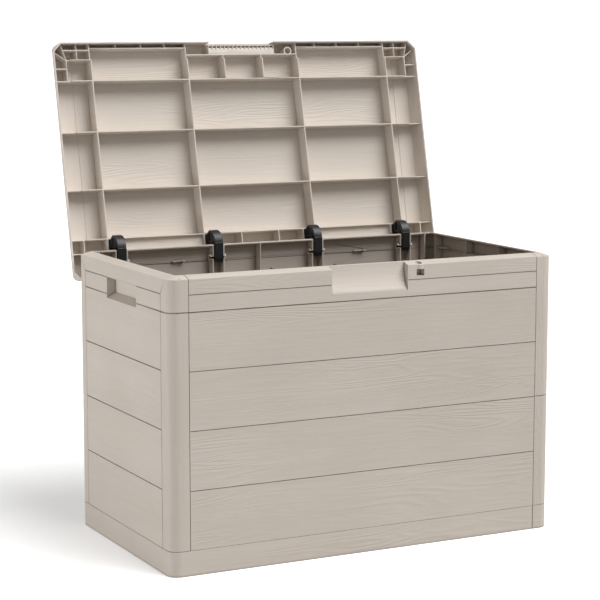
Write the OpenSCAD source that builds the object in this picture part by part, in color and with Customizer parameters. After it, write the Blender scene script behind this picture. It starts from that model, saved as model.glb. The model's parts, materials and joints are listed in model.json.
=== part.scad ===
// Deck storage box: a moulded resin chest with four wall panels that plug into a base
// tray, and a ribbed lid that swings on four goose-neck hinge arms. The lid stands open.
// Origin: centre of the underside of the base. +X right, +Y to the back, +Z up.

/* [Body] */
// Width of the box body, side to side
body_w = 765; // [600:5:900]
// Depth of the box body, front to back
body_d = 424; // [360:4:520]
// Height of the rim above the floor
rim_z = 515; // [440:1:620]
// Height of the plinth band of the base tray
base_h = 44.7; // [36:0.1:60]
// Thickness of the wall panels
wall = 3; // [2.5:0.1:4]
// Radius of the upright corners, seen from above
corner_r = 20; // [16:1:26]
// Width of the corner posts on the front and back
post_w = 36; // [30:1:44]
// Gap at the joints between panels
seam = 0.7; // [0.4:0.1:1.2]

/* [Rim] */
// Width of the flat rim flange
flange_w = 21; // [19:0.5:26]
// Thickness of the rim flange
flange_t = 3; // [2.5:0.1:4]
// Fall of the sloped rim from its inner part to its outer edge
rim_fall = 6; // [4:0.5:6]

/* [Planks] */
// Height of the lowest plank above the plinth
plank_h = 103; // [90:1:110]
// Height of the narrow top plank
top_plank_h = 31.2; // [24:0.1:34]
// Width of a plank line
line_w = 1.3; // [0.8:0.1:2]
// Depth of a plank line
line_d = 1.3; // [0.6:0.1:1.4]

/* [Grips] */
// Length of each side grip pocket
grip_l = 136; // [110:2:160]
// Depth of each side grip pocket
grip_d = 17; // [14:0.5:17]
// Width of the finger scoop under the lid's front edge
scoop_w = 151; // [145:1:190]
// Depth of the finger scoop at the rim
scoop_d = 15; // [13:0.5:16]
// Radius of the scoop's curved floor
scoop_r = 92; // [80:1:110]

/* [Lid] */
// Overhang of the lid beyond the sides of the body
lid_side = 7.5; // [6:0.5:12]
// Overhang of the lid beyond the front and back of the body
lid_end = 10.8; // [9:0.1:14]
// Height of the lid from the skirt edge to its top
lid_h = 33; // [30:1:38]
// Depth that the skirt hangs below the rim's top
skirt_lap = 5; // [3:0.5:6]
// Thickness of the lid's top plate
plate_t = 3.5; // [3:0.1:4]
// Thickness of the lid's ribs
rib_t = 2.2; // [1.8:0.1:3]
// Length of the cut-off corners of the lid
lid_cut = 16; // [12:1:22]
// Angle at which the open lid rests on its stop
open_angle = 102.5; // [95:0.5:104]

/* [Hinges] */
// Hinge line's distance in from the back face of the body
axis_in = 14; // [13:0.5:15]
// Hinge line's depth below the rim's top
axis_down = 25.5; // [24:0.5:27]
// Width of a hinge arm
arm_w = 17; // [15:0.5:18]
// Radius of a hinge pin
pin_r = 3; // [2.5:0.1:3.5]

/* [Lock] */
// Sideways place of the padlock hole
lock_x = 101; // [98:1:104]
// Padlock hole's distance in from the front face
lock_in = 8; // [8:0.5:10]
// Radius of the padlock hole
lock_r = 6; // [5:0.5:6.5]

/* [Hidden] */
$fn = 48;
eps = 0.01;
half_w = body_w / 2;
half_d = body_d / 2;
post_x = half_w - post_w;
post_y = half_d - post_w - 1;
axis_y = half_d - axis_in;
axis_z = rim_z - axis_down;
flange_z = rim_z - flange_t;

// Plank lines on the wall faces, from the plinth up
plank_z = [base_h + plank_h, base_h + 2 * plank_h, base_h + 3 * plank_h - 0.8, rim_z - 2 * top_plank_h + 1,
    rim_z - top_plank_h - 0.5];
shadow_line = 3;
scoop_h = 55;
grip_rise = 10;
ridge_t = 0.3;
ridge_h = 3;

// Sloped part of the rim, and the upright lip at its outer edge
slope_w = 17;
rim_lip = 0.6;

// Foot of the walls, and the tongue below it
foot_t = 4;
tongue_h = 12;

// Base tray
floor_z = 21;
floor_t = 3;
tray_gap = 0.5;
channel_w = 6;
tray_wall_z = 40;

// Lid, drawn closed and then turned to its open rest
lid_w = body_w + 2 * lid_side;
lid_d = body_d + 2 * lid_end;
skirt_z = rim_z - skirt_lap;
lid_top = skirt_z + lid_h;
plate_z = lid_top - plate_t;
rear_y = lid_d / 2;
skirt_t = 3;
band = 32;
rear_band = 45;
over_rim = 0.6;
over_rear_rim = 3.2;
cross_w = [73, 166, 275, 372];
rear_rib_w = 47.5;
shelf_in = 8;
long_x = [119, 316.5];
hinge_rib_x = [93.5, 291];
front_rib_w = 420.5;
comb_w = 140;
comb_n = 17;
comb_in = 5;
comb_lip = 9;
wedge_d = 14;

// Lean of the lid's end skirts, the bevel at their top edges, and the inner edge of the cross boards
lean_in = 8;
lean_edge = 5;
end_board_x = 346;

// Hinge arms sit between a long rib and a short rib of the lid
arm_x = [for (i = [0, 1]) (long_x[i] + hinge_rib_x[i]) / 2];
arm_places = [-arm_x[1], -arm_x[0], arm_x[0], arm_x[1]];
slot_h = 10;
ear_gap = 19.5;
ear_t = 3;
pin_l = 27;
pin_play = 0.06;
cup_r = 6.5;
cup_l = 5.5;
eye_r = 9.5;
hook_x = [-174, 216];
hook_l = 22;
nub_x = [15, 154];
root_w0 = 56;
root_w1 = 71.5;
screw_r = 2;
screw_top = 5.8;
screw_pitch = 8.8;

resin = "#c9bfb3";
black = "#26262a";

// ---- shared shapes ----

// Outline of the body from above, drawn in by a distance
module outline(inset) {
    r = max(corner_r - inset, 1);
    x = half_w - inset - r;
    y = half_d - inset - r;
    for (sx = [-1, 1], sy = [-1, 1])
        translate([sx * x, sy * y]) circle(r);
    square([2 * x, 2 * (y + r)], center = true);
    square([2 * (x + r), 2 * y], center = true);
}

// Upright ring between two insets
module ring(from, to, z, h) {
    translate([0, 0, z]) linear_extrude(h) difference() {
        outline(from);
        outline(to);
    }
}

// Section of the sloped rim: x runs in from the outer face, y up from the foot of the slope
module rim_section() {
    top_in = slope_w + 2;
    top_z = rim_fall - flange_t;
    polygon([[0, -flange_t], [0, rim_lip], [slope_w, rim_fall], [top_in, rim_fall],
        [top_in, top_z], [slope_w, top_z], [wall, rim_lip - wall], [wall, -flange_t]]);
}

// Sloped rim all round the top of the walls, falling to the outside
module sloped_rim() {
    for (s = [0, 180]) rotate(s) translate([0, 0, rim_z - rim_fall]) {
        translate([-half_w + corner_r, -half_d, 0])
            rotate([90, 0, 90]) linear_extrude(body_w - 2 * corner_r) rim_section();
        translate([half_w, -half_d + corner_r, 0])
            rotate([90, 0, 180]) linear_extrude(body_d - 2 * corner_r) rim_section();
        for (m = [0, 1]) mirror([m, 0, 0]) translate([-half_w + corner_r, -half_d + corner_r, 0])
            rotate(180) rotate_extrude(angle = 90) translate([corner_r, 0]) mirror([1, 0]) rim_section();
    }
}

// Space just over the slope, which trims the ribs and blocks that stand under it
module slope_space() {
    reach = 5;
    fall = (rim_fall - rim_lip) / slope_w;
    polygon([[-reach, -fall * (slope_w + reach)], [slope_w, 0], [slope_w, reach], [-reach, reach]]);
}

module over_slope() {
    for (s = [0, 180]) rotate(s) translate([0, 0, rim_z]) {
        translate([-half_w - 5, -half_d, 0]) rotate([90, 0, 90]) linear_extrude(body_w + 10) slope_space();
        translate([half_w, -half_d - 5, 0]) rotate([90, 0, 180]) linear_extrude(body_d + 10) slope_space();
    }
}

// The four walls as one ring with the rim flange; panels are cut from it
module walls() {
    ring(0, wall, base_h, rim_z - rim_fall - base_h);
    sloped_rim();
    translate([0, 0, flange_z]) linear_extrude(flange_t) difference() {
        outline(slope_w);
        square([body_w - 2 * flange_w, body_d - 2 * flange_w], center = true);
    }
    // thick foot with the tongue that drops into the base tray
    ring(0, wall + foot_t, base_h, foot_t);
    ring(wall + 1, wall + foot_t, base_h - tongue_h, tongue_h + eps);
    // low ridges that back up the plank lines
    for (z = plank_z) ring(wall - ridge_t, wall + ridge_t, z - ridge_h / 2, ridge_h);
}

// Lines between planks, cut into the outer faces
module plank_lines() {
    for (i = [0 : len(plank_z) - 1]) {
        deep = i == shadow_line ? 1.3 * line_d : line_d;
        wide = i == shadow_line ? 1.3 * line_w : line_w;
        ring(-5, deep, plank_z[i] - wide / 2, wide);
    }
}

module upright_line(x, y, from_z, to_z) {
    translate([x - line_w / 2, y - line_w / 2, from_z]) cube([line_w, line_w, to_z - from_z]);
}

// ---- base ----

module base_tray() color(resin) difference() {
    union() {
        ring(0, wall, 0, base_h - tray_gap);
        translate([0, 0, floor_z]) linear_extrude(floor_t) outline(wall - 1);
        ring(wall + channel_w, 2 * wall + channel_w, floor_z, tray_wall_z - floor_z);
        for (y = [-140, -70, 0, 70, 140])
            translate([-half_w + 2, y - 1.25, 0]) cube([body_w - 4, 2.5, floor_z + 1]);
        for (i = [-3 : 3])
            translate([i * 120 - 1.25, -half_d + 2, 0]) cube([2.5, body_d - 4, floor_z + 1]);
        cylinder(r = 16, h = floor_z + 1);
    }
    // the right-hand post line runs on down through the plinth
    translate([post_x - line_w / 2, -half_d - 1, -1]) cube([line_w, 1 + line_d, base_h + 2]);
}

// ---- walls ----

module front_blank() intersection() {
    walls();
    translate([-post_x + seam / 2, -half_d - 1, 0]) cube([2 * post_x - seam, half_d, rim_z + 1]);
}

// Finger scoop: a shallow bowl with a curved floor, deepest at the rim
module scoop(grow) intersection() {
    translate([-scoop_w / 2 - grow, -half_d + scoop_d - scoop_r, rim_z])
        rotate([0, 90, 0]) cylinder(r = scoop_r + grow, h = scoop_w + 2 * grow);
    translate([-scoop_w, grow > 0 ? -half_d + 1 : -half_d - 2, rim_z - scoop_r])
        cube([2 * scoop_w, 2 * flange_w, grow > 0 ? scoop_r - eps : scoop_r + 5]);
}

// Stiffening rib standing on the inside of the front or back wall, y is the wall's side
module wall_rib(x, side, from_z, t) {
    y0 = side > 0 ? half_d - flange_w : -half_d + wall - 1;
    translate([x - t / 2, y0, from_z]) cube([t, flange_w - wall + 1, flange_z + 1 - from_z]);
}

module front_panel() color(resin) difference() {
    union() {
        front_blank();
        scoop(wall);
        // block and half-round collar at the padlock hole
        translate([lock_x - 12, -half_d + 1, rim_z - 28]) cube([24, 19, 26]);
        translate([lock_x, -half_d + lock_in, rim_z - 15]) cylinder(r = lock_in + 2, h = 15);
        for (x = [-300, -200, 200, 300]) wall_rib(x, -1, rim_z - 60, 2.5);
    }
    scoop(0);
    difference() {
        plank_lines();
        // the top line stops at the scoop
        translate([-scoop_w / 2, -half_d - 10, rim_z - scoop_h]) cube([scoop_w, 20, scoop_h]);
    }
    over_slope();
    // padlock hole through the rim, and the square window that the shackle leaves by
    translate([lock_x, -half_d + lock_in, rim_z - 20]) cylinder(r = lock_r, h = 30);
    translate([lock_x - 8, -half_d - 3, rim_z - 25.5]) cube([16, 18, 12]);
}

module back_panel() color(resin) difference() {
    union() {
        intersection() {
            walls();
            translate([-post_x + seam / 2, 1, 0]) cube([2 * post_x - seam, half_d, rim_z + 1]);
        }
        for (x = arm_places, s = [-1, 1]) {
            wall_rib(x + s * (ear_gap + ear_t) / 2, 1, rim_z - 190, ear_t);
            // cup on the outside of each ear round the end of the pin
            translate([x + s * (ear_gap + ear_t) / 2, axis_y, axis_z])
                rotate([0, 90 * s, 0]) cylinder(r = cup_r, h = cup_l);
        }
        wall_rib(-18, 1, rim_z - 190, 2.5);
        // hooks for an organiser bag: a short ledge that ends in a peg
        for (x = hook_x) {
            translate([x - hook_l, half_d - wall - 6, rim_z - 31.5]) cube([hook_l, 7, 2.5]);
            translate([x, half_d - wall + 1, rim_z - 30]) rotate([90, 0, 0]) cylinder(r = 2.4, h = 11);
        }
        // moulding nubs
        for (x = nub_x)
            translate([x, half_d - wall + 1, rim_z - 54]) rotate([90, 0, 0]) cylinder(r = 2, h = 6);
    }
    plank_lines();
    over_slope();
    for (x = arm_places) {
        // slot in the rim that the arm swings through
        translate([x - ear_gap / 2, half_d - flange_w - 1, rim_z - slot_h])
            cube([ear_gap, flange_w - 6, slot_h + 1]);
        // snap-in bearings: a bore in each ear with a mouth narrower than the pin
        translate([x - ear_gap, axis_y, axis_z])
            rotate([0, 90, 0]) cylinder(r = pin_r + pin_play, h = 2 * ear_gap);
        translate([x - ear_gap, axis_y - 10, axis_z - 2]) cube([2 * ear_gap, 10, 4]);
    }
}

// Grip pocket in a side wall: x runs in from the outer face
module grip_section(grow) {
    mouth = grow > 0 ? 1 : -2;
    low = rim_z - 70;
    high = rim_z - 32 + grow;
    deep = grip_d + grow;
    polygon([[mouth, low - 1.5 * grow], [deep, low + grip_rise - 1.2 * grow], [deep, high], [mouth, high]]);
}

module grip(grow) {
    translate([-half_w, grip_l / 2 + grow, 0])
        rotate([90, 0, 0]) linear_extrude(grip_l + 2 * grow) grip_section(grow);
}

// Left wall with the two corner posts that it carries
module side_panel() difference() {
    union() {
        intersection() {
            walls();
            translate([-half_w - 1, -half_d - 1, 0])
                cube([post_w + 1 - seam / 2, body_d + 2, rim_z + 1]);
        }
        grip(2.5);
        // ribs behind the post edges and beside the grip
        for (s = [-1, 1]) {
            translate([-half_w + wall - 1, s * post_y - 1.5, base_h + 30])
                cube([flange_w - wall + 1, 3, flange_z + 1 - base_h - 30]);
            translate([-half_w + wall - 1, s * (grip_l / 2 - 10) - 1.25, rim_z - 34])
                cube([flange_w - wall + 1, 2.5, 32]);
            // lipped edge that the front and back walls hook on to
            translate([-post_x - seam / 2 - 3, s > 0 ? half_d - flange_w : -half_d + wall - 1, base_h + 30])
                cube([3, flange_w - wall + 1, flange_z + 1 - base_h - 30]);
            translate([-post_x - 3, s > 0 ? half_d - wall - 4 : -half_d + wall + 1, base_h + 30])
                cube([9, 3, 320]);
        }
        // small shelf bracket near the back corner
        translate([-half_w + wall - 1, 143, rim_z - 30]) cube([14, 38, 2.5]);
    }
    grip(0);
    over_slope();
    intersection() {
        plank_lines();
        translate([-half_w - 10, -post_y, 0]) cube([40, 2 * post_y, rim_z]);
    }
    for (s = [-1, 1])
        upright_line(-half_w, s * post_y, base_h - 1, plank_z[len(plank_z) - 1]);
}

// The deep line under the top plank runs on round this front post
module left_side_panel() color(resin) difference() {
    side_panel();
    intersection() {
        ring(-5, 1.3 * line_d, plank_z[shadow_line] - line_w * 0.65, 1.3 * line_w);
        translate([-half_w - 10, -half_d - 10, 0]) cube([60, 60, rim_z]);
    }
}

// A line crosses this front post at half height
module right_side_panel() color(resin) difference() {
    mirror([1, 0, 0]) side_panel();
    intersection() {
        ring(-5, line_d, plank_z[1] - line_w / 2, line_w);
        translate([half_w - 50, -half_d - 10, 0]) cube([60, 60, rim_z]);
    }
}

// ---- lid ----

// Turns what is drawn on the closed lid to the open rest
module opened() {
    translate([0, axis_y, axis_z]) rotate([-open_angle, 0, 0]) translate([0, -axis_y, -axis_z]) children();
}

module lid_outline(inset) {
    x = lid_w / 2 - inset;
    y = lid_d / 2 - inset;
    c = lid_cut - 0.6 * inset;
    polygon([[-x + c, -y], [x - c, -y], [x, -y + c], [x, y - c],
        [x - c, y], [-x + c, y], [-x, y - c], [-x, -y + c]]);
}

// Section of the lid from front to back, with softly rounded top edges
module crown_section() {
    r = 7;
    translate([-lid_d / 2, skirt_z]) square([lid_d, lid_h - r]);
    for (s = [-1, 1]) translate([s * (lid_d / 2 - r), lid_top - r]) circle(r);
    translate([-lid_d / 2 + r, lid_top - r]) square([lid_d - 2 * r, r]);
}

// Section of the lid from side to side: the end skirts lean in towards the top
module leaning_ends(inset) {
    foot = lid_w / 2 - inset;
    shoulder = foot - lean_in;
    top = shoulder - lean_edge;
    polygon([[-foot, skirt_z - 1], [foot, skirt_z - 1], [foot, skirt_z + 3], [shoulder, lid_top - lean_edge],
        [top, lid_top], [-top, lid_top], [-shoulder, lid_top - lean_edge], [-foot, skirt_z + 3]]);
}

module between_ends(inset)
    translate([0, lid_d, 0]) rotate([90, 0, 0]) linear_extrude(2 * lid_d) leaning_ends(inset);

module lid_block() intersection() {
    translate([0, 0, skirt_z]) linear_extrude(lid_h) lid_outline(0);
    between_ends(0);
    translate([-lid_w, 0, 0]) rotate([90, 0, 90]) linear_extrude(2 * lid_w) crown_section();
}

module lid_hollow() intersection() {
    translate([0, 0, skirt_z - 1]) linear_extrude(plate_z - skirt_z + 1) lid_outline(skirt_t);
    between_ends(skirt_t);
}

// Rib along X at a distance w from the lid's rear edge
module cross_rib(w, x0, x1) {
    translate([x0, rear_y - w - rib_t / 2, skirt_z]) cube([x1 - x0, rib_t, plate_z - skirt_z + 1]);
}

// Rib along Y at x, between two distances from the rear edge
module long_rib(x, w0, w1, t = rib_t) {
    translate([x - t / 2, rear_y - w1, skirt_z]) cube([t, w1 - w0, plate_z - skirt_z + 1]);
}

// Ribs that reach down into the body, inside the rim
module rib_grid() {
    half = lid_w / 2 - 1;
    for (w = cross_w) cross_rib(w, -half, half);
    cross_rib(rear_rib_w, -half, half);
    for (s = [-1, 1]) {
        // shallow shelf between each outer hinge and its neighbour
        translate([s > 0 ? long_x[0] : -hinge_rib_x[1], rear_y - cross_w[0], skirt_z + shelf_in])
            cube([hinge_rib_x[1] - long_x[0], cross_w[0] - rear_rib_w, rib_t]);
        for (x = long_x) long_rib(s * x, 1, lid_d - 1);
        for (x = concat(hinge_rib_x, [40, 362])) long_rib(s * x, rear_rib_w, cross_w[0]);
        long_rib(s * 41, cross_w[3], front_rib_w);
        // thin rib along the front skirt with short webs
        cross_rib(434, s > 0 ? long_x[0] : -long_x[1], s > 0 ? long_x[1] : -long_x[0]);
        for (x = [162, 211, 262]) long_rib(s * x, 434, lid_d - 1, 1.6);
        // low ridge under the line of the cross board
        translate([s * end_board_x - 1, -rear_y + skirt_t, plate_z - 0.8])
            cube([2, lid_d - 2 * skirt_t, 1.8]);
        // boxed corner with webs to the cut-off corner
        cross_rib(412, s > 0 ? long_x[1] : -364, s > 0 ? 364 : -long_x[1]);
        cross_rib(431, s > 0 ? long_x[1] : -370, s > 0 ? 370 : -long_x[1]);
        cross_rib(396, s > 0 ? 364 : -half, s > 0 ? half : -364);
        long_rib(s * 364, cross_w[3], 412);
        long_rib(s * 342, 412, lid_d - 1, 1.6);
        for (end = [[lid_w / 2 - lid_cut - 1, lid_d - 2], [lid_w / 2 - 2, lid_d - lid_cut - 1]])
            translate([s * 364, rear_y - 412, skirt_z])
                rotate(atan2(-(end[1] - 412), s * (end[0] - 364)))
                    translate([0, -0.8, 0])
                        cube([norm([end[0] - 364, end[1] - 412]), 1.6, plate_z - skirt_z + 1]);
    }
    cross_rib(front_rib_w, -long_x[0], long_x[0]);
}

// Comb of thin ribs behind the front grip, standing on a sloped wedge
module grip_comb() {
    for (i = [0 : comb_n - 1])
        long_rib(-comb_w / 2 + i * comb_w / (comb_n - 1), front_rib_w, lid_d - comb_in - 1, 1.4);
    translate([-comb_w / 2, -rear_y + comb_in, skirt_z + comb_lip])
        cube([comb_w, skirt_t, lid_h - comb_lip - 3]);
    low = skirt_z - plate_z + 1.5;
    translate([-comb_w / 2, rear_y - front_rib_w, plate_z]) rotate([90, 0, 90]) linear_extrude(comb_w)
        polygon([[1, 1], [-wedge_d, 1], [-wedge_d, low + 7], [-1, low], [1, low]]);
}

// Space that the body's rim takes in the closed lid, with a step in every rib
module rim_space() {
    side = lid_w / 2 - skirt_t;
    front = rear_y - skirt_t;
    for (s = [-1, 1])
        translate([s > 0 ? side - band + skirt_t : -side, -front, skirt_z - 1])
            cube([band - skirt_t, 2 * front, rim_z + over_rim - skirt_z + 1]);
    translate([-side, -front, skirt_z - 1])
        cube([2 * side, band - skirt_t + 1, rim_z + over_rim - skirt_z + 1]);
    translate([-side, front - rear_band + skirt_t, skirt_z - 1])
        cube([2 * side, rear_band - skirt_t, rim_z + over_rear_rim - skirt_z + 1]);
}

module lid_closed() difference() {
    union() {
        difference() {
            lid_block();
            lid_hollow();
        }
        intersection() {
            difference() {
                union() {
                    rib_grid();
                    grip_comb();
                    translate([lock_x, -half_d + lock_in, skirt_z]) cylinder(r = lock_r + 2.5, h = lid_h - 2);
                }
                rim_space();
            }
            lid_block();
        }
    }
    // finger room: the front edge is set back over the comb
    translate([-comb_w / 2, -rear_y - 1, skirt_z - 1]) cube([comb_w, comb_in + 1, lid_h - 9]);
    // padlock hole
    translate([lock_x, -half_d + lock_in, skirt_z - 1]) cylinder(r = lock_r, h = lid_h + 5);
    // plank lines on top, with a cross board at each end
    for (i = [1 : 3])
        translate([-end_board_x, -rear_y + i * lid_d / 4 - line_w / 2, lid_top - line_d])
            cube([2 * end_board_x, line_w, 5]);
    for (s = [-1, 1])
        translate([s * end_board_x - line_w / 2, -rear_y - 1, lid_top - line_d]) cube([line_w, lid_d + 2, 5]);
    // holes for the screws that hold the hinge arms
    for (x = arm_places, w = screw_w) screw_line(x, w) cylinder(r = screw_r + 0.3, h = 40, center = true);
}

module lid_shell() color(resin) opened() lid_closed();

// ---- hinges ----

// Screws run sideways through both ribs and the arm's root, one near the plate, one lower
screw_w = [0, 1];
module screw_line(x, i) {
    translate([x, rear_y - (root_w0 + root_w1) / 2, plate_z - screw_top - screw_pitch * i])
        rotate([0, 90, 0]) children();
}

// Side view of the arm about the hinge line, y across and z up, with the lid open
module arm_section() {
    circle(eye_r);
    translate([-eye_r, 0]) square([eye_r + 6, 28]);
    intersection() {
        translate([14.5, 26.5]) circle(24);
        translate([-eye_r, 26.5]) square([24, 24]);
    }
    polygon([[14, 27], [14, 50.5], [19, 50.5], [30, 42], [28, 27]]);
}

module hinge_arm(x) color(black) difference() {
    union() {
        translate([x - arm_w / 2, axis_y, axis_z]) rotate([90, 0, 90]) linear_extrude(arm_w) arm_section();
        opened() translate([x - 11.5, rear_y - root_w1, skirt_z - 1])
            cube([23, root_w1 - root_w0, plate_z - skirt_z + 0.8]);
        for (s = [-1, 1])
            translate([x + s * arm_w / 2, axis_y, axis_z])
                rotate([0, 90, 0]) cylinder(r = 5.5, h = 1, center = true);
    }
    translate([x, axis_y, axis_z]) rotate([0, 90, 0]) cylinder(r = pin_r - 0.02, h = 40, center = true);
    opened() for (w = screw_w) screw_line(x, w) cylinder(r = screw_r + 0.05, h = 40, center = true);
    // hollowed cheeks leave a rim round each side
    for (s = [-1, 1]) translate([x + s * arm_w / 2 - (s > 0 ? 2 : 0), axis_y, axis_z])
        rotate([90, 0, 90]) linear_extrude(2) intersection() {
            translate([14.5, 26.5]) circle(20);
            translate([-eye_r, 15]) square([30, 33]);
            translate([-5.5, 12]) square([26, 36]);
            union() {
                translate([-6, 12]) square([8, 20]);
                translate([-6, 30.5]) square([26, 20]);
            }
        }
}

module hinge_pin(x) color(black)
    translate([x, axis_y, axis_z]) rotate([0, 90, 0]) cylinder(r = pin_r, h = pin_l, center = true);

module hinge_screws() color("#9a9a98") opened() for (x = arm_places, w = screw_w) screw_line(x, w) {
    translate([0, 0, -13]) cylinder(r = screw_r, h = 27.5);
    translate([0, 0, 14.2]) difference() {
        cylinder(r = 4, h = 2.4);
        for (a = [0, 90]) rotate(a) translate([-2, -0.5, 1.2]) cube([4, 1, 2]);
    }
}

base_tray();
front_panel();
back_panel();
left_side_panel();
right_side_panel();
lid_shell();
hinge_arm(arm_places[0]);  // hinge_arm_1
hinge_arm(arm_places[1]);  // hinge_arm_2
hinge_arm(arm_places[2]);  // hinge_arm_3
hinge_arm(arm_places[3]);  // hinge_arm_4
hinge_pin(arm_places[0]);  // hinge_pin_1
hinge_pin(arm_places[1]);  // hinge_pin_2
hinge_pin(arm_places[2]);  // hinge_pin_3
hinge_pin(arm_places[3]);  // hinge_pin_4
hinge_screws();
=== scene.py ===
import json
import math
import bpy
from mathutils import Matrix, Vector


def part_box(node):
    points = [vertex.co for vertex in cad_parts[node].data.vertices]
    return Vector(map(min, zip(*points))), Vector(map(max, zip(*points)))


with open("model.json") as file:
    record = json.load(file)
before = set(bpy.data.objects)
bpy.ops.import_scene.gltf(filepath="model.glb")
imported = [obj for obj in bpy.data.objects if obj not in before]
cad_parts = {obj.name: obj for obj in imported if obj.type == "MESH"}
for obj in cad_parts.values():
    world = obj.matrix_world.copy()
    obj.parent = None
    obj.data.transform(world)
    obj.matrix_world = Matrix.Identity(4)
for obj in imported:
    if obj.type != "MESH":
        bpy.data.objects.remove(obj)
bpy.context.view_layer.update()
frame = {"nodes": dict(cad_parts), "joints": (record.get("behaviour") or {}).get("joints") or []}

# ---------------------------------------------------------------------------------------------
# Base tray. It carries the box on the floor: a plinth band all round, a flat bottom and a grid of
# ribs under it. It is one injection moulding in warm grey polypropylene, grained like wood outside.
# The tongues of the four wall panels drop into the channel inside its plinth and snap in there.
# ---------------------------------------------------------------------------------------------
PLINTH_TOP = 0.0447
PLANK_HEIGHT = 0.103
# painted light: a paler tint for pieces that should look more brightly lit
RESIN_PAINTED_LIGHT = (0.800, 0.735, 0.665, 1.0)
RESIN_LIGHT = (0.668, 0.598, 0.530, 1.0)
RESIN_MID = (0.610, 0.541, 0.474, 1.0)
# painted shade colour for the inside of the box
RESIN_INSIDE_SHADE = (0.330, 0.292, 0.250, 1.0)
# painted shade colour for grooves and inner corners
RESIN_CREASE_SHADE = (0.190, 0.160, 0.132, 1.0)
WALL_SKIN = 0.0028
RIM_HEIGHT = 0.515
RIM_WIDTH = 0.022
GRAIN_RINGS = 20.0
GRAIN_FIBRE = 0.4
GRAIN_DEPTH = 0.0006
SKIN_SIZE = 700.0
# how far the painted shade in grooves and inner corners reaches
CREASE_SHADE_REACH = 0.005
MOULDED_EDGE = 0.0007
SHARP_ANGLE = math.radians(35.0)
SAME_POINT = 1e-5
POST_WIDTH_FRONT = 0.036
POST_WIDTH_SIDE = 0.037

tray_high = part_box("base_tray")[1]
post_edge_x = tray_high.x - POST_WIDTH_FRONT
post_edge_y = tray_high.y - POST_WIDTH_SIDE


def node(tree, kind, inputs=None, **settings):
    """A shader node with its settings; each input is a value or the socket that feeds it."""
    made = tree.nodes.new(kind)
    for name, value in settings.items():
        setattr(made, name, value)
    for name, value in (inputs or {}).items():
        if isinstance(value, bpy.types.NodeSocket):
            tree.links.new(value, made.inputs[name])
        else:
            made.inputs[name].default_value = value
    return made


def maths(tree, operation, *values):
    """The result of a Math node."""
    return node(tree, "ShaderNodeMath", dict(enumerate(values)), operation=operation).outputs[0]


def blend(tree, mask, first, second):
    """First where the mask is 0 and second where it is 1, for plain values."""
    inputs = {"Factor": mask, "A": first, "B": second}
    return node(tree, "ShaderNodeMix", inputs, data_type="FLOAT").outputs["Result"]


def tint(tree, mask, first, second):
    """First where the mask is 0 and second where it is 1, for colours."""
    first_colour, second_colour, result_colour = 6, 7, 2
    inputs = {"Factor": mask, first_colour: first, second_colour: second}
    return node(tree, "ShaderNodeMix", inputs, data_type="RGBA").outputs[result_colour]


def noise(tree, place, scale, detail, **settings):
    """The value of a noise of this scale at this place."""
    inputs = {"Vector": place, "Scale": scale, "Detail": detail, **settings}
    return node(tree, "ShaderNodeTexNoise", inputs).outputs["Fac"]


def stretched_noise(tree, place, scales, detail, **settings):
    """Noise drawn out by its own scale along each axis."""
    drawn = node(tree, "ShaderNodeVectorMath", {0: place, 1: scales}, operation="MULTIPLY").outputs[0]
    return noise(tree, drawn, 1.0, detail, **settings)


def spread(tree, value, low, high, kind="LINEAR"):
    """The value stretched so that low becomes 0 and high becomes 1."""
    inputs = {"Value": value, "From Min": low, "From Max": high}
    return node(tree, "ShaderNodeMapRange", inputs, interpolation_type=kind).outputs["Result"]


def effect(name, inputs, outputs):
    """An empty shader group with named sockets; returns its tree, its inputs and its outputs."""
    tree = bpy.data.node_groups.new(name, "ShaderNodeTree")
    for label, kind, value in inputs:
        socket = tree.interface.new_socket(name=label, in_out="INPUT", socket_type=kind)
        if value is not None:
            socket.default_value = value
    for label, kind in outputs:
        tree.interface.new_socket(name=label, in_out="OUTPUT", socket_type=kind)
    return tree, tree.nodes.new("NodeGroupInput").outputs, tree.nodes.new("NodeGroupOutput").inputs


VECTOR = "NodeSocketVector"
VALUE = "NodeSocketFloat"
STEEP = 0.7


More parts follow.
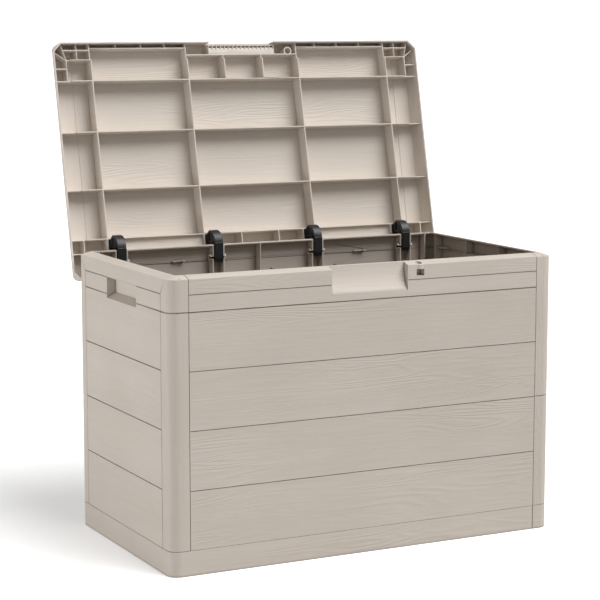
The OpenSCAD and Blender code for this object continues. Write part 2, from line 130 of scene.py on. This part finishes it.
def build_wall_boards():
    """Which way the moulded grain runs on the walls: along each plank, and up the corner posts."""
    tree, given, result = effect(
        "wall_boards",
        [("Position", VECTOR, None), ("Normal", VECTOR, None), ("Post X", VALUE, 0.3),
         ("Post Y", VALUE, 0.2), ("Plinth Top", VALUE, 0.04), ("Plank Height", VALUE, 0.1)],
        [("Place", VECTOR)],
    )
    side_boards = 5.0
    post_board = 11.0
    along_per_board = 2.37
    through_per_board = 1.7
    at = node(tree, "ShaderNodeSeparateXYZ", {0: given["Position"]}).outputs
    facing = node(tree, "ShaderNodeSeparateXYZ", {0: given["Normal"]}).outputs
    on_side = maths(tree, "GREATER_THAN", maths(tree, "ABSOLUTE", facing["X"]), STEEP)
    on_top = maths(tree, "GREATER_THAN", maths(tree, "ABSOLUTE", facing["Z"]), STEEP)
    along = blend(tree, on_side, at["X"], at["Y"])
    across = blend(tree, on_top, at["Z"], at["Y"])
    past_x = maths(tree, "GREATER_THAN", maths(tree, "ABSOLUTE", at["X"]), given["Post X"])
    past_y = maths(tree, "GREATER_THAN", maths(tree, "ABSOLUTE", at["Y"]), given["Post Y"])
    above = maths(tree, "GREATER_THAN", at["Z"], given["Plinth Top"])
    post = blend(tree, on_side, past_x, past_y)
    upright = maths(tree, "SUBTRACT", 1.0, on_top)
    post = maths(tree, "MULTIPLY", maths(tree, "MULTIPLY", post, above), upright)
    height = maths(tree, "SUBTRACT", at["Z"], given["Plinth Top"])
    board = maths(tree, "FLOOR", maths(tree, "DIVIDE", height, given["Plank Height"]))
    board = blend(tree, post, maths(tree, "MULTIPLY_ADD", on_side, side_boards, board), post_board)
    place = node(tree, "ShaderNodeCombineXYZ", {
        "X": maths(tree, "MULTIPLY_ADD", board, along_per_board, blend(tree, post, along, at["Z"])),
        "Y": blend(tree, post, across, along),
        "Z": maths(tree, "MULTIPLY", board, through_per_board),
    })
    tree.links.new(place.outputs[0], result["Place"])
    return tree


def build_wood_relief():
    """Shallow wood grain as the mould gives it: arched growth lines, calm patches and fine fibres."""
    tree, given, result = effect(
        "wood_relief",
        [("Place", VECTOR, None), ("Rings", VALUE, 20.0), ("Fibre", VALUE, 0.4)],
        [("Height", VALUE), ("Tone", VALUE)],
    )
    place = given["Place"]
    figure = stretched_noise(tree, place, (2.0, 19.0, 1.0), 2.0, Roughness=0.42, Distortion=0.35)
    phase = maths(tree, "MULTIPLY", figure, maths(tree, "MULTIPLY", given["Rings"], math.tau))
    lines = maths(tree, "MULTIPLY_ADD", maths(tree, "SINE", phase), 0.5, 0.5)
    lines = maths(tree, "POWER", lines, 1.6)
    patch = spread(tree, stretched_noise(tree, place, (1.6, 9.0, 3.0), 1.0), 0.40, 0.60, "SMOOTHSTEP")
    lines = maths(tree, "MULTIPLY", lines, maths(tree, "MULTIPLY_ADD", patch, 0.8, 0.2))
    coarse = stretched_noise(tree, place, (9.0, 240.0, 1.0), 2.0)
    fine = stretched_noise(tree, place, (30.0, 900.0, 1.0), 2.0)
    fibre = maths(tree, "ADD", coarse, maths(tree, "MULTIPLY", fine, 0.5))
    fibre = maths(tree, "MULTIPLY", fibre, given["Fibre"])
    tree.links.new(maths(tree, "MULTIPLY_ADD", lines, 0.5, fibre), result["Height"])
    broad = stretched_noise(tree, place, (1.1, 14.0, 2.0), 3.0)
    tone = maths(tree, "MULTIPLY_ADD", broad, 0.6, maths(tree, "MULTIPLY", coarse, 0.4))
    tree.links.new(tone, result["Tone"])
    return tree


def build_inside_walls():
    """1 on the inside of the box and 0 outside, on the rim and in the finger scoop; it marks where
    painted shade darkens the walls.
    """
    tilt = 0.3
    tree, given, result = effect(
        "inside_walls",
        [("Position", VECTOR, None), ("Normal", VECTOR, None), ("Half Width", VALUE, 0.38),
         ("Half Depth", VALUE, 0.21), ("Rim Height", VALUE, 0.5), ("Rim Width", VALUE, 0.02)],
        [("Mask", VALUE)],
    )
    at = node(tree, "ShaderNodeSeparateXYZ", {0: given["Position"]}).outputs
    facing = node(tree, "ShaderNodeSeparateXYZ", {0: given["Normal"]}).outputs
    from_side = maths(tree, "SUBTRACT", given["Half Width"], maths(tree, "ABSOLUTE", at["X"]))
    from_front = maths(tree, "SUBTRACT", given["Half Depth"], maths(tree, "ABSOLUTE", at["Y"]))
    nearest = maths(tree, "MINIMUM", from_side, from_front)
    by_front = maths(tree, "LESS_THAN", from_front, from_side)
    outward_x = maths(tree, "MULTIPLY", facing["X"], maths(tree, "SIGN", at["X"]))
    outward_y = maths(tree, "MULTIPLY", facing["Y"], maths(tree, "SIGN", at["Y"]))
    outward = blend(tree, by_front, outward_x, outward_y)
    past_rim = maths(tree, "GREATER_THAN", nearest, given["Rim Width"])
    turned_in = maths(tree, "LESS_THAN", outward, blend(tree, past_rim, -tilt, tilt))
    inner = maths(tree, "MULTIPLY", maths(tree, "GREATER_THAN", nearest, 0.0), turned_in)
    below = maths(tree, "LESS_THAN", at["Z"], given["Rim Height"])
    tree.links.new(maths(tree, "MULTIPLY", inner, below), result["Mask"])
    return tree


def build_crease_shade():
    """Painted shade in creases: 1 deep in grooves and inner corners, where shade falls, 0 on open faces.
    """
    tree, given, result = effect(
        "crease_shade", [("Reach", VALUE, 0.01), ("Strength", VALUE, 0.5)], [("Mask", VALUE)])
    reached = node(tree, "ShaderNodeAmbientOcclusion", {"Distance": given["Reach"]}, samples=6)
    closed = maths(tree, "SUBTRACT", 1.0, reached.outputs["AO"])
    tree.links.new(maths(tree, "MULTIPLY", closed, given["Strength"]), result["Mask"])
    return tree


def build_mould_texture():
    """Fine leathery skin that a spark-eroded mould leaves on resin, and slow cloudy variation."""
    tree, given, result = effect(
        "mould_texture",
        [("Position", VECTOR, None), ("Size", VALUE, 900.0)],
        [("Height", VALUE), ("Cloud", VALUE)],
    )
    cloud_scale = 6.0
    tree.links.new(noise(tree, given["Position"], given["Size"], 2.0), result["Height"])
    tree.links.new(noise(tree, given["Position"], cloud_scale, 3.0), result["Cloud"])
    return tree


wall_boards = build_wall_boards()
wood_relief = build_wood_relief()
inside_walls = build_inside_walls()
crease_shade = build_crease_shade()
mould_texture = build_mould_texture()


def placed(tree, group, inputs):
    """The outputs of a shader group that is used in a material with these inputs."""
    return node(tree, "ShaderNodeGroup", inputs, node_tree=group).outputs


def surface(name):
    """A new material; returns it, its tree, its shader and the places its textures start from."""
    material = bpy.data.materials.new(name)
    material.use_nodes = True
    tree = material.node_tree
    spot = node(tree, "ShaderNodeTexCoord").outputs
    return material, tree, tree.nodes["Principled BSDF"], spot


def raise_surface(tree, shader, height, strength, depth):
    """Turns a height into fine relief of this depth, in metres."""
    bump = node(tree, "ShaderNodeBump", {"Strength": strength, "Distance": depth, "Height": height})
    tree.links.new(bump.outputs["Normal"], shader.inputs["Normal"])


def resin(name, place_boards, shaded, crease_shading, painted_light, relief):
    """Matt warm grey polypropylene with moulded wood grain. place_boards(tree, position, normal)
    returns the grain's own coordinates on this piece, shaded says how much painted shade darkens
    its inside, crease_shading how much painted shade darkens its creases, painted_light how much
    a painted light lifts it towards a paler tint, and relief how deep its grain is."""
    material, tree, shader, spot = surface(name)
    place = place_boards(tree, spot["Object"], spot["Normal"])
    grain = placed(tree, wood_relief, {"Place": place, "Rings": GRAIN_RINGS, "Fibre": GRAIN_FIBRE})
    skin = placed(tree, mould_texture, {"Position": spot["Object"], "Size": SKIN_SIZE})
    crease_shade_mask = placed(tree, crease_shade, {"Reach": CREASE_SHADE_REACH, "Strength": crease_shading})
    inside = placed(tree, inside_walls, {
        "Position": spot["Object"], "Normal": spot["Normal"],
        "Half Width": tray_high.x - WALL_SKIN, "Half Depth": tray_high.y - WALL_SKIN,
        "Rim Height": RIM_HEIGHT - WALL_SKIN, "Rim Width": RIM_WIDTH,
    })
    tone = maths(tree, "MULTIPLY_ADD", skin["Cloud"], 0.35, maths(tree, "MULTIPLY", grain["Tone"], 0.65))
    colour = tint(tree, spread(tree, tone, 0.36, 0.64), RESIN_MID, RESIN_LIGHT)
    # painted light: the colour lifted towards a paler tint, as much as pale says
    colour = tint(tree, painted_light, colour, RESIN_PAINTED_LIGHT)
    # painted shade: the inside of the box darkened through the inside_walls mask, as much as shaded says
    colour = tint(tree, maths(tree, "MULTIPLY", inside["Mask"], shaded), colour, RESIN_INSIDE_SHADE)
    # painted shade: grooves and inner corners darkened by the ambient-occlusion mask
    colour = tint(tree, crease_shade_mask["Mask"], colour, RESIN_CREASE_SHADE)
    tree.links.new(colour, shader.inputs["Base Color"])
    rough = maths(tree, "MULTIPLY_ADD", grain["Height"], -0.12, 0.60)
    tree.links.new(rough, shader.inputs["Roughness"])
    shader.inputs["Specular IOR Level"].default_value = 0.35
    height = maths(tree, "MULTIPLY_ADD", skin["Height"], 0.10, grain["Height"])
    raise_surface(tree, shader, height, relief, GRAIN_DEPTH)
    return material


def boards_on_walls(tree, position, normal):
    """The grain's coordinates on the tray and the wall panels."""
    given = {"Position": position, "Normal": normal, "Post X": post_edge_x, "Post Y": post_edge_y,
             "Plinth Top": PLINTH_TOP, "Plank Height": PLANK_HEIGHT}
    return placed(tree, wall_boards, given)["Place"]


# The walls get painted shade inside the box and in their creases, and no painted light.
wall_resin = resin("wall_resin", boards_on_walls, shaded=0.5, crease_shading=1.1, painted_light=0.0, relief=0.65)


def finish_node(name, material, edge=MOULDED_EDGE, held=False):
    """Gives a CAD node its material and soft moulded edges, held back where faces are narrow."""
    piece = frame["nodes"][name]
    piece.data.materials.clear()
    piece.data.materials.append(material)
    weld = piece.modifiers.new("weld", "WELD")
    weld.merge_threshold = SAME_POINT
    soft = piece.modifiers.new("soft_edges", "BEVEL")
    soft.width = edge
    soft.segments = 2
    soft.limit_method = "ANGLE"
    soft.angle_limit = SHARP_ANGLE
    soft.use_clamp_overlap = held
    soft.miter_outer = "MITER_ARC"
    shading = piece.modifiers.new("even_shading", "WEIGHTED_NORMAL")
    shading.keep_sharp = False


finish_node("base_tray", wall_resin)

# ---------------------------------------------------------------------------------------------
# Side panels. Each is one moulding in the same grained grey resin, with its length of sloped rim,
# a grip pocket pressed in under the rim and the two rounded corner posts of its side.
# A tongue along the foot snaps into the tray, and lips on the posts hook the front and back walls.
# ---------------------------------------------------------------------------------------------
for side in ("left_side_panel", "right_side_panel"):
    finish_node(side, wall_resin)

# ---------------------------------------------------------------------------------------------
# Front panel. A grained grey resin moulding with its length of rim, a curved finger scoop in the
# middle of the top edge, and a padlock hole through the rim with a square window below it.
# It snaps into the tray at its foot and hooks on to the posts of the side panels.
# ---------------------------------------------------------------------------------------------
NARROW_EDGE = 0.0004
finish_node("front_panel", wall_resin, edge=NARROW_EDGE, held=True)

# ---------------------------------------------------------------------------------------------
# Back panel. The fourth wall, moulded in the same resin. Pairs of ribs behind four slots in its rim
# end in snap-in cups for the hinge pins, and two hooks inside take an organiser bag.
# It snaps into the tray at its foot and hooks on to the posts of the side panels.
# ---------------------------------------------------------------------------------------------
finish_node("back_panel", wall_resin)

# ---------------------------------------------------------------------------------------------
# Lid. One large grained grey resin moulding: a flat top of four boards with a cross board at each
# end, a skirt that hangs over the rim, a grid of ribs underneath and a finger comb at the front.
# It turns on four hinge arms that are screwed between pairs of its ribs.
# ---------------------------------------------------------------------------------------------
hinge = frame["joints"][0]
open_angle = math.radians(hinge["range_deg"][1])
hinge_point = Vector(hinge["pos_m"])
CROSS_BOARD_X = 0.316
LID_BOARD = 0.1114
LID_EDGE = 0.0005


def build_lid_boards():
    """Grain along the lid's boards, and across at its two end boards, on the lid as if shut."""
    tree, given, result = effect(
        "lid_boards",
        [("Position", VECTOR, None), ("Normal", VECTOR, None), ("End X", VALUE, 0.3),
         ("Board Width", VALUE, 0.1)],
        [("Place", VECTOR)],
    )
    cross_board = 9.0
    along_per_board = 3.1
    through_per_board = 1.3
    at = node(tree, "ShaderNodeSeparateXYZ", {0: given["Position"]}).outputs
    facing = node(tree, "ShaderNodeSeparateXYZ", {0: given["Normal"]}).outputs
    flat = maths(tree, "GREATER_THAN", maths(tree, "ABSOLUTE", facing["Z"]), STEEP)
    on_side = maths(tree, "GREATER_THAN", maths(tree, "ABSOLUTE", facing["X"]), STEEP)
    at_end = maths(tree, "GREATER_THAN", maths(tree, "ABSOLUTE", at["X"]), given["End X"])
    turned = maths(tree, "MAXIMUM", on_side, maths(tree, "MULTIPLY", flat, at_end))
    along = blend(tree, turned, at["X"], at["Y"])
    across = blend(tree, flat, at["Z"], blend(tree, turned, at["Y"], at["X"]))
    board = maths(tree, "FLOOR", maths(tree, "DIVIDE", at["Y"], given["Board Width"]))
    board = blend(tree, turned, board, cross_board)
    place = node(tree, "ShaderNodeCombineXYZ", {
        "X": maths(tree, "MULTIPLY_ADD", board, along_per_board, along),
        "Y": across,
        "Z": maths(tree, "MULTIPLY", board, through_per_board),
    })
    tree.links.new(place.outputs[0], result["Place"])
    return tree


lid_boards = build_lid_boards()


def boards_on_lid(tree, position, normal):
    """The grain's coordinates on the lid, found by turning it back to where it lies when shut."""
    turn = Matrix.Rotation(open_angle, 3, "X")
    offset = hinge_point - turn @ hinge_point
    back = (open_angle, 0.0, 0.0)
    shut = node(tree, "ShaderNodeMapping", {"Vector": position, "Location": offset, "Rotation": back})
    facing = node(tree, "ShaderNodeMapping", {"Vector": normal, "Rotation": back}, vector_type="VECTOR")
    given = {"Position": shut.outputs[0], "Normal": facing.outputs[0], "End X": CROSS_BOARD_X,
             "Board Width": LID_BOARD}
    return placed(tree, lid_boards, given)["Place"]


# The lid is tinted paler as painted light, with faint painted shade in its creases and none inside.
lid_resin = resin("lid_resin", boards_on_lid, shaded=0.0, crease_shading=0.2, painted_light=0.4, relief=1.0)
finish_node("lid_shell", lid_resin, edge=LID_EDGE)

# ---------------------------------------------------------------------------------------------
# Hinge arms and pins. Four goose-neck arms moulded in black glass-filled nylon, each with hollowed
# cheeks, an eye at its lower end and a root that sits between two ribs of the lid.
# A black pin of the same nylon is pressed through each eye and turns in the back panel's cups.
# ---------------------------------------------------------------------------------------------
NYLON_BLACK = (0.012, 0.012, 0.014, 1.0)
NYLON_SKIN_SIZE = 1100.0
ARM_EDGE = 0.0008
PIN_EDGE = 0.0004


def black_resin():
    """Black nylon with a satin, slightly uneven sheen."""
    material, tree, shader, spot = surface("black_resin")
    skin = placed(tree, mould_texture, {"Position": spot["Object"], "Size": NYLON_SKIN_SIZE})
    shader.inputs["Base Color"].default_value = NYLON_BLACK
    rough = maths(tree, "MULTIPLY_ADD", skin["Cloud"], 0.25, 0.30)
    tree.links.new(rough, shader.inputs["Roughness"])
    raise_surface(tree, shader, skin["Height"], strength=0.35, depth=0.0003)
    return material


arm_resin = black_resin()
for number in range(1, 5):
    finish_node(f"hinge_arm_{number}", arm_resin, edge=ARM_EDGE)
    finish_node(f"hinge_pin_{number}", arm_resin, edge=PIN_EDGE)

# ---------------------------------------------------------------------------------------------
# Hinge screws. Two steel screws with low round heads and cross recesses hold each arm's root,
# driven sideways through both ribs of the lid and the arm between them.
# They are cold-headed and zinc plated, which leaves a grey, faintly cloudy metal skin.
# ---------------------------------------------------------------------------------------------
ZINC_DULL = (0.50, 0.50, 0.49, 1.0)
ZINC_BRIGHT = (0.72, 0.71, 0.69, 1.0)
SCREW_EDGE = 0.0002


def build_zinc_bloom():
    """Cloudy patches in a zinc coat, and the fine grit of its crystals."""
    tree, given, result = effect(
        "zinc_bloom", [("Position", VECTOR, None)], [("Cloud", VALUE), ("Grit", VALUE)])
    cloud_scale = 350.0
    grit_scale = 2600.0
    tree.links.new(noise(tree, given["Position"], cloud_scale, 3.0), result["Cloud"])
    tree.links.new(noise(tree, given["Position"], grit_scale, 1.0), result["Grit"])
    return tree


def zinc_steel():
    """Zinc-plated steel."""
    material, tree, shader, spot = surface("zinc_steel")
    bloom = placed(tree, build_zinc_bloom(), {"Position": spot["Object"]})
    colour = tint(tree, bloom["Cloud"], ZINC_DULL, ZINC_BRIGHT)
    tree.links.new(colour, shader.inputs["Base Color"])
    shader.inputs["Metallic"].default_value = 1.0
    tree.links.new(maths(tree, "MULTIPLY_ADD", bloom["Cloud"], 0.2, 0.28), shader.inputs["Roughness"])
    raise_surface(tree, shader, bloom["Grit"], strength=0.2, depth=0.0001)
    return material


finish_node("hinge_screws", zinc_steel(), edge=SCREW_EDGE)

# ---------------------------------------------------------------------------------------------
# Studio floor. A wide sheet of matt white board, faintly lit from below, that the box stands on.
# It runs far past the view on every side, so that it meets the white surround without a line.
# ---------------------------------------------------------------------------------------------
FLOOR_REACH = 150.0
FLOOR_WHITE = (0.975, 0.975, 0.975, 1.0)
FLOOR_WARM = (0.960, 0.958, 0.954, 1.0)
FLOOR_BOUNCE = (0.40, 0.40, 0.40, 1.0)
FLOOR_GLOW = 0.35
MOTTLE_SCALE = 3.0

corners = [(-1, -1), (1, -1), (1, 1), (-1, 1)]
floor_mesh = bpy.data.meshes.new("studio_floor")
floor_points = [(x * FLOOR_REACH, y * FLOOR_REACH, 0.0) for x, y in corners]
floor_mesh.from_pydata(floor_points, [], [(0, 1, 2, 3)])
floor = bpy.data.objects.new("studio_floor", floor_mesh)
bpy.context.scene.collection.objects.link(floor)
white_board, board_tree, board_shader, board_spot = surface("white_board")
mottle = noise(board_tree, board_spot["Object"], MOTTLE_SCALE, 3.0)
board_seen = node(board_tree, "ShaderNodeLightPath").outputs["Is Camera Ray"]
board_colour = tint(board_tree, mottle, FLOOR_WARM, FLOOR_WHITE)
board_colour = tint(board_tree, board_seen, FLOOR_BOUNCE, board_colour)
board_tree.links.new(board_colour, board_shader.inputs["Base Color"])
board_shader.inputs["Emission Color"].default_value = (1.0, 1.0, 1.0, 1.0)
board_glow = maths(board_tree, "MULTIPLY", board_seen, FLOOR_GLOW)
board_tree.links.new(board_glow, board_shader.inputs["Emission Strength"])
board_shader.inputs["Roughness"].default_value = 0.9
board_shader.inputs["Specular IOR Level"].default_value = 0.1
floor_mesh.materials.append(white_board)

# ---------------------------------------------------------------------------------------------
# Studio light. A broad soft source high on the right, and a low strip light on the left that stays
# under the height of the rim, so that it lights the left wall and leaves the inside in shade.
# The white surround fills the shadows faintly and shows as plain white behind the box.
# ---------------------------------------------------------------------------------------------
SURROUND_FILL = 0.27
SURROUND_COLOUR = (1.0, 1.0, 1.0, 1.0)
BACKDROP_WHITE = 1.06
KEY_FROM = Vector((0.38, -0.42, 0.82))
KEY_POWER = 3.15
KEY_SPREAD = 45.0
SIDE_PLACE = (-3.0, 0.6, 0.15)
SIDE_LENGTH = 2.6
SIDE_HEIGHT = 0.28
SIDE_POWER = 41.0

surround = bpy.data.worlds.new("white_surround")
bpy.context.scene.world = surround
surround.use_nodes = True
sky = surround.node_tree
sky_output = sky.nodes["World Output"]
fill = sky.nodes["Background"]
fill.inputs["Color"].default_value = SURROUND_COLOUR
fill.inputs["Strength"].default_value = SURROUND_FILL
backdrop = node(sky, "ShaderNodeBackground", {"Color": SURROUND_COLOUR, "Strength": BACKDROP_WHITE})
seen = node(sky, "ShaderNodeLightPath").outputs["Is Camera Ray"]
either = node(sky, "ShaderNodeMixShader", {0: seen, 1: fill.outputs[0], 2: backdrop.outputs[0]})
sky.links.new(either.outputs[0], sky_output.inputs["Surface"])

key_data = bpy.data.lights.new("soft_key", "SUN")
key_data.energy = KEY_POWER
key_data.angle = math.radians(KEY_SPREAD)
key = bpy.data.objects.new("soft_key", key_data)
key.rotation_mode = "QUATERNION"
key.rotation_quaternion = KEY_FROM.to_track_quat("Z", "Y")
bpy.context.scene.collection.objects.link(key)

side_data = bpy.data.lights.new("side_strip", "AREA")
side_data.shape = "RECTANGLE"
side_data.size = SIDE_HEIGHT
side_data.size_y = SIDE_LENGTH
side_data.energy = SIDE_POWER
strip = bpy.data.objects.new("side_strip", side_data)
strip.location = SIDE_PLACE
strip.rotation_euler = (0.0, math.radians(-90.0), 0.0)
bpy.context.scene.collection.objects.link(strip)

# ---------------------------------------------------------------------------------------------
# Camera. A long lens on a tripod, to the left of the box and a little above its rim,
# tipped slightly down, so that the front, the left side and the inside of the lid all show.
# ---------------------------------------------------------------------------------------------
CAMERA_LENS = 118.04
CAMERA_SENSOR = 36.0
CAMERA_REACH = 400.0
CAMERA_PLACE = (-1.6569, -3.1883, 0.9414)
CAMERA_TIP = math.radians(90.0 - 8.171)
CAMERA_TURN = math.radians(-27.033)

camera_data = bpy.data.cameras.new("camera")
camera_data.lens = CAMERA_LENS
camera_data.sensor_width = CAMERA_SENSOR
camera_data.clip_end = CAMERA_REACH
camera = bpy.data.objects.new("camera", camera_data)
camera.location = CAMERA_PLACE
camera.rotation_euler = (CAMERA_TIP, 0.0, CAMERA_TURN)
bpy.context.scene.collection.objects.link(camera)
bpy.context.scene.camera = camera
bpy.context.scene.view_settings.view_transform = "Standard"
